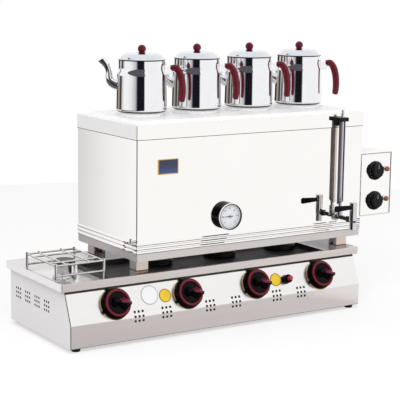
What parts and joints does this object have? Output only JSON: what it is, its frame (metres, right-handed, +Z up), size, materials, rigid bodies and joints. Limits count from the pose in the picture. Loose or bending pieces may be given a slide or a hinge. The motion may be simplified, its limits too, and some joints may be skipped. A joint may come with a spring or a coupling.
{
  "type": "tea urn",
  "caption": "Rectangular water boiler with teapots seated on its cover, standing on legs over a gas hob with side control box, tap, gauge glass and thermometer.",
  "frame": {"origin": "on the floor under the middle of the box round the whole set, in the plane of the feet", "axes": "+X to the right along the hob, +Y from the knobs to the back, +Z up"},
  "size_m": [1.019, 0.391, 0.7045],
  "materials": {
    "brushed_steel": "satin stainless sheet",
    "polished_steel": "mirror polished stainless sheet",
    "chrome": "bright chrome plating",
    "black_enamel": "gloss black enamel",
    "burner_iron": "black enamelled casting",
    "brass": "machined brass",
    "black_plastic": "gloss black bakelite",
    "burgundy_plastic": "gloss dark red bakelite",
    "red_plastic": "gloss red plastic",
    "yellow_sticker": "printed plastic disc",
    "rubber": "black moulded rubber",
    "badge": "enamelled blank plate with a bright edge",
    "white_dial": "printed white dial",
    "clear_glass": "clear glass",
    "lamp": "amber lens",
    "steel_fastener": "darkened steel"
  },
  "bodies": {
    "stove_and_boiler": {"hob_housing": "brushed_steel", "hob_base_plate": "brushed_steel", "hob_top": "brushed_steel", "drip_pan": "black_enamel", "main_burners": "burner_iron", "burner_caps": "black_enamel", "coffee_burner": "chrome", "gas_manifold": "steel_fastener", "gas_valves": "brass", "knob_bezels": "brass", "igniter_body": "black_plastic", "panel_discs": "yellow_sticker", "rubber_feet": "rubber", "boiler_shell": "polished_steel", "boiler_top": "polished_steel", "inner_tank": "polished_steel", "boiler_legs": "brushed_steel", "fasteners": "steel_fastener", "badge_plate": "badge", "drain_elbow": "chrome", "thermometer_case": "chrome", "thermometer_dial": "white_dial", "thermometer_glass": "clear_glass", "tap_body": "chrome", "gauge_glass": "clear_glass", "gauge_guard": "chrome", "gauge_clamp": "black_plastic", "gauge_vent": "chrome", "control_box": "polished_steel", "thermostats": "black_plastic", "pilot_lamps": "lamp", "heating_elements": "chrome"},
    "gas_knob_1": {"gas_knob_1": "black_plastic"},
    "gas_knob_2": {"gas_knob_2": "black_plastic"},
    "gas_knob_3": {"gas_knob_3": "black_plastic"},
    "gas_knob_4": {"gas_knob_4": "black_plastic"},
    "igniter_button": {"igniter_button": "red_plastic"},
    "thermostat_knob_1": {"thermostat_knob_1": "black_plastic"},
    "thermostat_knob_2": {"thermostat_knob_2": "black_plastic"},
    "tap_handle": {"tap_plug": "chrome", "tap_lever": "black_plastic"},
    "thermometer_needle": {"thermometer_needle": "black_enamel"},
    "pan_support": {"pan_support": "chrome"},
    "coffee_burner_cap": {"coffee_burner_cap": "black_enamel"},
    "pot_1": {"pot_1_body": "polished_steel", "pot_1_grip": "burgundy_plastic"},
    "pot_1_lid": {"pot_1_lid": "polished_steel", "pot_1_lid_knob": "burgundy_plastic"},
    "pot_2": {"pot_2_body": "polished_steel", "pot_2_grip": "burgundy_plastic"},
    "pot_2_lid": {"pot_2_lid": "polished_steel", "pot_2_lid_knob": "burgundy_plastic"},
    "pot_3": {"pot_3_body": "polished_steel", "pot_3_grip": "burgundy_plastic"},
    "pot_3_lid": {"pot_3_lid": "polished_steel", "pot_3_lid_knob": "burgundy_plastic"},
    "pot_4": {"pot_4_body": "polished_steel", "pot_4_grip": "burgundy_plastic"},
    "pot_4_lid": {"pot_4_lid": "polished_steel", "pot_4_lid_knob": "burgundy_plastic"}
  },
  "joints": [
    {"name": "gas_knob_1_turn", "type": "hinge", "parent": "stove_and_boiler", "child": "gas_knob_1", "pos_m": [-0.372, -0.14423, 0.101], "axis": [0, -0.9252, 0.3796], "range_deg": [0, 210]},
    {"name": "gas_knob_2_turn", "type": "hinge", "parent": "stove_and_boiler", "child": "gas_knob_2", "pos_m": [-0.167, -0.14423, 0.101], "axis": [0, -0.9252, 0.3796], "range_deg": [0, 210]},
    {"name": "gas_knob_3_turn", "type": "hinge", "parent": "stove_and_boiler", "child": "gas_knob_3", "pos_m": [0.038, -0.14423, 0.101], "axis": [0, -0.9252, 0.3796], "range_deg": [0, 210]},
    {"name": "gas_knob_4_turn", "type": "hinge", "parent": "stove_and_boiler", "child": "gas_knob_4", "pos_m": [0.243, -0.14423, 0.101], "axis": [0, -0.9252, 0.3796], "range_deg": [0, 210]},
    {"name": "igniter_press", "type": "slide", "parent": "stove_and_boiler", "child": "igniter_button", "axis": [0, 0.9252, -0.3796], "range_m": [0, 0.004], "stiffness_N_per_m": 300},
    {"name": "thermostat_knob_1_turn", "type": "hinge", "parent": "stove_and_boiler", "child": "thermostat_knob_1", "pos_m": [0.4505, -0.116, 0.279], "axis": [0, -1, 0], "range_deg": [-270, 0]},
    {"name": "thermostat_knob_2_turn", "type": "hinge", "parent": "stove_and_boiler", "child": "thermostat_knob_2", "pos_m": [0.4505, -0.116, 0.361], "axis": [0, -1, 0], "range_deg": [-270, 0]},
    {"name": "tap_turn", "type": "hinge", "parent": "stove_and_boiler", "child": "tap_handle", "pos_m": [0.3195, -0.1855, 0.248], "axis": [0, 0, 1], "range_deg": [0, 90]},
    {"name": "needle_swing", "type": "hinge", "parent": "stove_and_boiler", "child": "thermometer_needle", "pos_m": [-0.0335, -0.1295, 0.2805], "axis": [0, 1, 0], "range_deg": [-45, 225]},
    {"name": "pan_support_lift", "type": "slide", "parent": "stove_and_boiler", "child": "pan_support", "axis": [0, 0, 1], "range_m": [0, 0.12]},
    {"name": "coffee_cap_lift", "type": "slide", "parent": "stove_and_boiler", "child": "coffee_burner_cap", "axis": [0, 0, 1], "range_m": [0, 0.05]},
    {"name": "pot_1_lift", "type": "slide", "parent": "stove_and_boiler", "child": "pot_1", "axis": [0, 0, 1], "range_m": [0, 0.15]},
    {"name": "pot_1_lid_lift", "type": "slide", "parent": "pot_1", "child": "pot_1_lid", "axis": [0, 0, 1], "range_m": [0, 0.08]},
    {"name": "pot_2_lift", "type": "slide", "parent": "stove_and_boiler", "child": "pot_2", "axis": [0, 0, 1], "range_m": [0, 0.15]},
    {"name": "pot_2_lid_lift", "type": "slide", "parent": "pot_2", "child": "pot_2_lid", "axis": [0, 0, 1], "range_m": [0, 0.08]},
    {"name": "pot_3_lift", "type": "slide", "parent": "stove_and_boiler", "child": "pot_3", "axis": [0, 0, 1], "range_m": [0, 0.15]},
    {"name": "pot_3_lid_lift", "type": "slide", "parent": "pot_3", "child": "pot_3_lid", "axis": [0, 0, 1], "range_m": [0, 0.08]},
    {"name": "pot_4_lift", "type": "slide", "parent": "stove_and_boiler", "child": "pot_4", "axis": [0, 0, 1], "range_m": [0, 0.15]},
    {"name": "pot_4_lid_lift", "type": "slide", "parent": "pot_4", "child": "pot_4_lid", "axis": [0, 0, 1], "range_m": [0, 0.08]}
  ]
}
